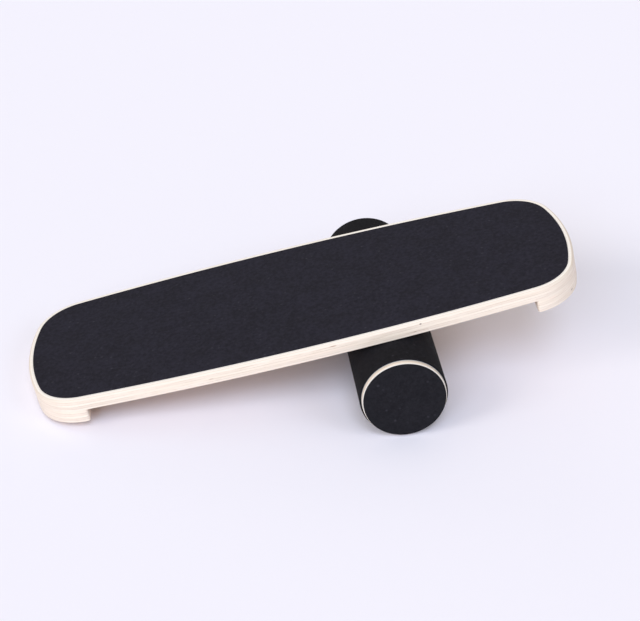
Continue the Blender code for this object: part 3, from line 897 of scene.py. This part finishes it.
def make_nut(node, facing, steel):
    """A hexagon nut: its corners chamfered at both faces, its bore countersunk."""
    inner = radii(node)[0]
    reach = [facing * value for value in span(node, DECK_ACROSS)]
    low, height = min(reach), max(reach) - min(reach)
    flat = NUT_ACROSS_FLATS / 2
    face = flat * NUT_FACE
    angles = [2 * math.pi * side / HARDWARE_SIDES for side in range(HARDWARE_SIDES)]

    def hexagon(level, drop):
        """A ring on the hexagon, cut back from a face at level by a cone that starts at that face's rim."""
        ring = []
        for angle in angles:
            off_flat = (angle + math.pi / 6) % (math.pi / 3) - math.pi / 6
            radius = flat / math.cos(off_flat)
            back = max(0.0, radius - face) * NUT_CHAMFER
            ring.append(Vector((radius * math.cos(angle), radius * math.sin(angle), level + drop * back)))
        return ring

    def circle(radius, level):
        return [Vector((radius * math.cos(a), radius * math.sin(a), level)) for a in angles]

    rings = [
        circle(inner, NUT_BORE_EASE),
        circle(inner + NUT_BORE_EASE, 0),
        circle(face, 0),
        hexagon(0, 1),
        hexagon(height, -1),
        circle(face, height),
        circle(inner + NUT_BORE_EASE, height),
        circle(inner, height - NUT_BORE_EASE),
    ]
    mesh = mesh_of_rings(node, rings, capped=False, looped=True)
    finished(f"{node}_steel", mesh, on_roller(facing, facing * low), steel, "roller", [node])


def make_tie_rod(steel):
    """A plain rod, threaded at both ends."""
    low, high = span("tie_rod", DECK_ACROSS)
    crest = radii("tie_rod")[1]
    length = high - low
    thread = threaded_stations(ROD_LEAD, ROD_THREAD_LENGTH, crest, ROD_ROOT, ROD_PITCH)
    middle = plain_station(ROD_THREAD_LENGTH + ROD_RUN_OUT, crest)
    stations = [plain_station(0, ROD_ROOT), *thread, middle]
    far = [(length - height, a, b, pitch) for height, a, b, pitch in reversed(stations)]
    mesh = threaded_mesh("tie_rod", stations + far)
    finished("tie_rod_steel", mesh, on_roller(1, low), steel, "rock_axis", ["tie_rod"])


# Stage

FLOOR_COLOUR = (0.840, 0.830, 0.912, 1)
FLOOR_RADIUS = 14.0
FLOOR_DROP = 0.0002  # keeps the floor just clear of the pieces that stand on it


def make_floor():
    shape = bmesh.new()
    bmesh.ops.create_circle(shape, cap_ends=True, segments=96, radius=FLOOR_RADIUS)
    mesh = bpy.data.meshes.new("studio_floor")
    shape.to_mesh(mesh)
    shape.free()
    n = Nodes("studio_floor")
    mesh.materials.append(n.finish(FLOOR_COLOUR, 0.9, Specular_IOR_Level=0.1))
    floor = bpy.data.objects.new("studio_floor", mesh)
    bpy.context.scene.collection.objects.link(floor)
    floor.location.z = -FLOOR_DROP


WORLD_LIGHT = (1.0, 0.89, 0.76, 1)
WORLD_STRENGTH = 0.51
BACKDROP = (0.92, 0.905, 1.0, 1)


def make_world():
    """Warm soft light from all round, and a backdrop that looks as pale as the floor."""
    world = bpy.data.worlds.new("studio")
    world.use_nodes = True
    tree = world.node_tree
    light, backdrop = tree.nodes["Background"], tree.nodes.new("ShaderNodeBackground")
    light.inputs["Color"].default_value = WORLD_LIGHT
    light.inputs["Strength"].default_value = WORLD_STRENGTH
    backdrop.inputs["Color"].default_value = BACKDROP
    seen = tree.nodes.new("ShaderNodeLightPath").outputs["Is Camera Ray"]
    mix = tree.nodes.new("ShaderNodeMixShader")
    for socket, source in zip(mix.inputs, (seen, light.outputs[0], backdrop.outputs[0])):
        tree.links.new(source, socket)
    tree.links.new(mix.outputs[0], tree.nodes["World Output"].inputs["Surface"])
    bpy.context.scene.world = world


COOL, WARM = (0.99, 1.13, 1.36), (1.04, 1.0, 0.94)
LIGHTS = {  # bearing from the viewer's side towards the lowered end, height in degrees, strength, colour
    "high_light": (0, 50, 0.82, COOL),
    "key_light": (25, 30, 0.86, COOL),
    "low_light": (60, 30, 1.00, WARM),
    "side_light": (-50, 35, 0.34, COOL),
    "back_light": (180, 25, 0.14, WARM),
}
LIGHT_SPREAD = math.radians(24)  # the angle that each far, wide softbox fills


def make_light(name, bearing, height, strength, colour):
    light = bpy.data.lights.new(name, "SUN")
    light.energy = strength
    light.color = colour
    light.angle = LIGHT_SPREAD
    lamp = bpy.data.objects.new(name, light)
    bpy.context.scene.collection.objects.link(lamp)
    towards = Vector((-math.sin(bearing), -math.cos(bearing), math.tan(height)))
    lamp.rotation_euler = towards.to_track_quat("Z", "Y").to_euler()


def make_lights():
    for name, (bearing, height, strength, colour) in LIGHTS.items():
        make_light(name, math.radians(bearing), math.radians(height), strength, colour)


CAMERA_PLACE = Vector((-0.2156, -2.1060, 1.3740))
CAMERA_BEARING = math.radians(6.576)  # from +Y towards +X
CAMERA_DROP = math.radians(31.418)  # below the horizontal
CAMERA_ROLL = math.radians(-0.132)
CAMERA_LENS = 103.69  # mm, on a sensor as wide as the next value
CAMERA_SENSOR = 36.0
CAMERA_REACH = 60.0


def make_camera():
    camera = bpy.data.cameras.new("camera")
    camera.lens = CAMERA_LENS
    camera.sensor_width = CAMERA_SENSOR
    camera.clip_end = CAMERA_REACH
    holder = bpy.data.objects.new("camera", camera)
    bpy.context.scene.collection.objects.link(holder)
    turn = Matrix.Rotation(-CAMERA_BEARING, 4, "Z")
    turn = turn @ Matrix.Rotation(math.pi / 2 - CAMERA_DROP, 4, "X")
    turn = turn @ Matrix.Rotation(CAMERA_ROLL, 4, "Z")
    holder.matrix_world = Matrix.Translation(CAMERA_PLACE) @ turn
    bpy.context.scene.camera = holder


def main():
    bpy.context.scene.view_settings.view_transform = "Standard"
    steel = zinc_steel("zinc_steel")
    make_deck_board()
    make_deck_grip()
    for side, end in ((-1, "left"), (1, "right")):
        wood = plywood(f"{end}_stop_plywood", DECK_ALONG, DECK_ACROSS, DECK_UP, STOP_MARKS[end])
        make_end_stop(side, end, wood)
    make_stop_screws(steel)
    make_roller_wrap()
    make_roller_tube()
    make_tie_rod(steel)
    disc_wood = plywood("disc_plywood", Vector((1, 0, 0)), Vector((0, 0, 1)), DECK_ACROSS)
    pad_grip = grip("end_pad_foam", *END_PAD)
    for facing, end in ((-1, "front"), (1, "rear")):
        make_end(end, facing, steel, disc_wood, pad_grip)
    make_floor()
    make_world()
    make_lights()
    make_camera()


main()
